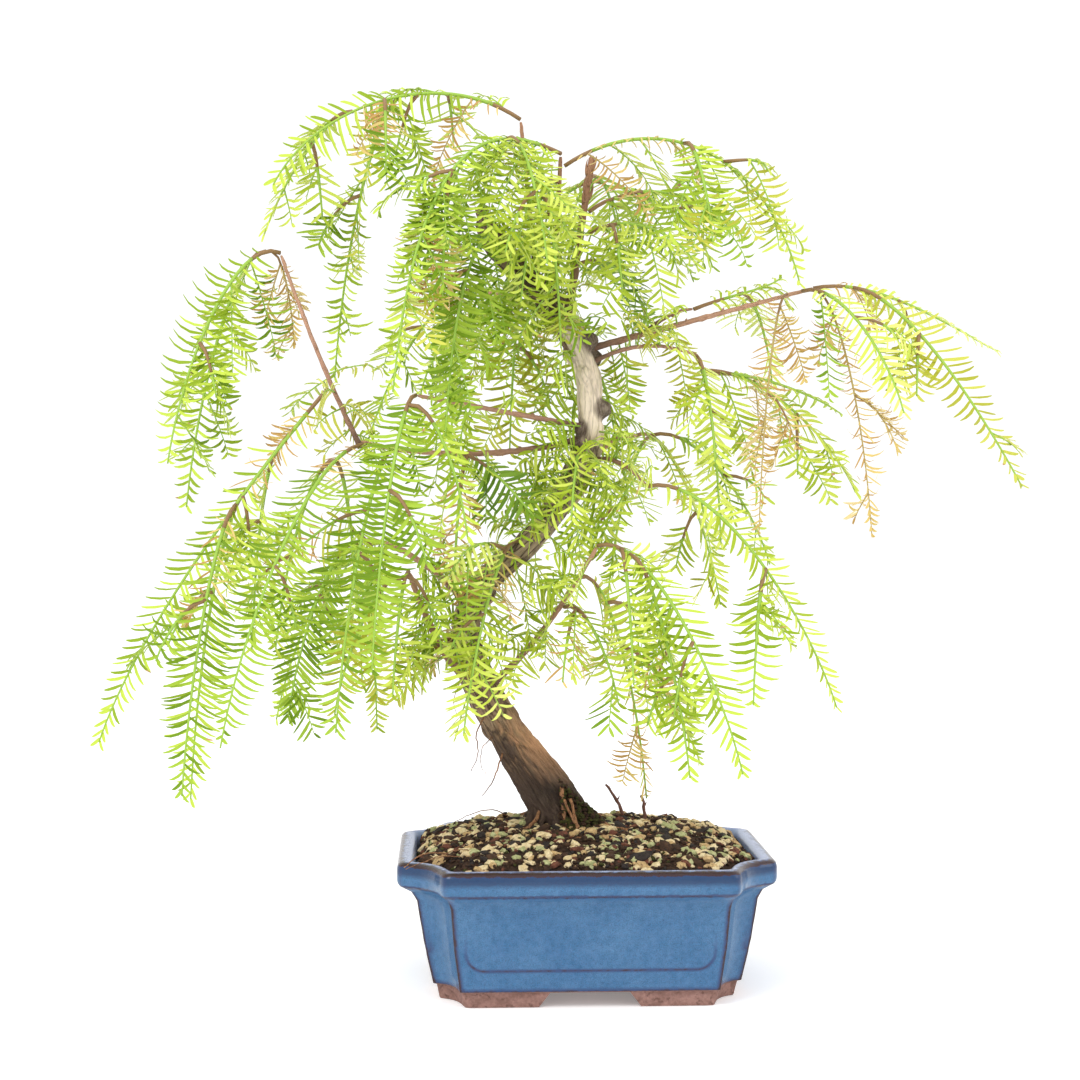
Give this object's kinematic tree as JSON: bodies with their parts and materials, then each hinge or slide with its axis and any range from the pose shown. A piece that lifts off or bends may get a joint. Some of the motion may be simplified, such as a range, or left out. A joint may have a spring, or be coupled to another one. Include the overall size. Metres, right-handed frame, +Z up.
{
  "type": "bonsai dawn redwood in a glazed pot",
  "caption": "Weeping bonsai conifer with an S-curved trunk, arching boughs and feathery hanging sprays, in a footed rectangular glazed pot with scooped corners.",
  "frame": {"origin": "on the surface the pot stands on, under the middle of the whole plant's box; the pot's centre lies 10.1 mm right and -23.7 mm back of it", "axes": "+X to the right of the pot's front, +Y from the front to the back, +Z up"},
  "size_m": [0.4472, 0.241, 0.4418],
  "materials": {
    "glaze": "glossy mottled blue glaze that breaks brown on the edges, bare clay feet",
    "soil": "rough, dark bonsai soil with pale grit",
    "bark": "rough fibrous bark, greyer towards the top",
    "young_bark": "matt reddish brown young bark",
    "foliage": "matt bright green needles with some straw-coloured tips"
  },
  "bodies": {
    "root": {"pot": "glaze", "soil": "soil", "trunk": "bark", "dead_sprout_left": "young_bark", "dead_sprout_right": "young_bark", "bough_low_left": "young_bark", "bough_low_right": "young_bark", "bough_mid_right": "young_bark", "bough_high_right": "young_bark", "bough_fork_right": "young_bark", "bough_side_right": "young_bark", "bough_mid_left": "young_bark", "bough_long_left": "young_bark", "bough_left_rise": "young_bark", "leader_left": "young_bark", "leader_centre": "young_bark", "leader_right": "young_bark", "bough_back_low": "young_bark", "bough_back_mid": "young_bark", "bough_back_high": "young_bark", "mass_top_left": "foliage", "mass_centre_cascade": "foliage", "mass_top_right": "foliage", "mass_right_high": "foliage", "mass_right_front": "foliage", "mass_right_back": "foliage", "mass_back_top": "foliage", "mass_crown_left": "foliage", "mass_trunk_back": "foliage", "mass_front_top": "foliage", "mass_front_mid": "foliage", "mass_front_low": "foliage", "mass_centre_left": "foliage", "mass_inner_left": "foliage", "mass_left_front": "foliage", "mass_left_low": "foliage", "mass_left_sweep": "foliage", "mass_left_outer": "foliage", "mass_right_tip": "foliage", "mass_right_spray": "foliage", "mass_right_straw": "foliage", "mass_fork_right": "foliage", "mass_side_right": "foliage", "mass_trunk_right": "foliage", "mass_low_right_top": "foliage", "mass_low_right": "foliage", "mass_low_middle": "foliage", "mass_low_right_back": "foliage", "mass_low_left": "foliage", "mass_back_low": "foliage", "mass_back_mid": "foliage", "mass_back_high": "foliage"}
  },
  "joints": []
}
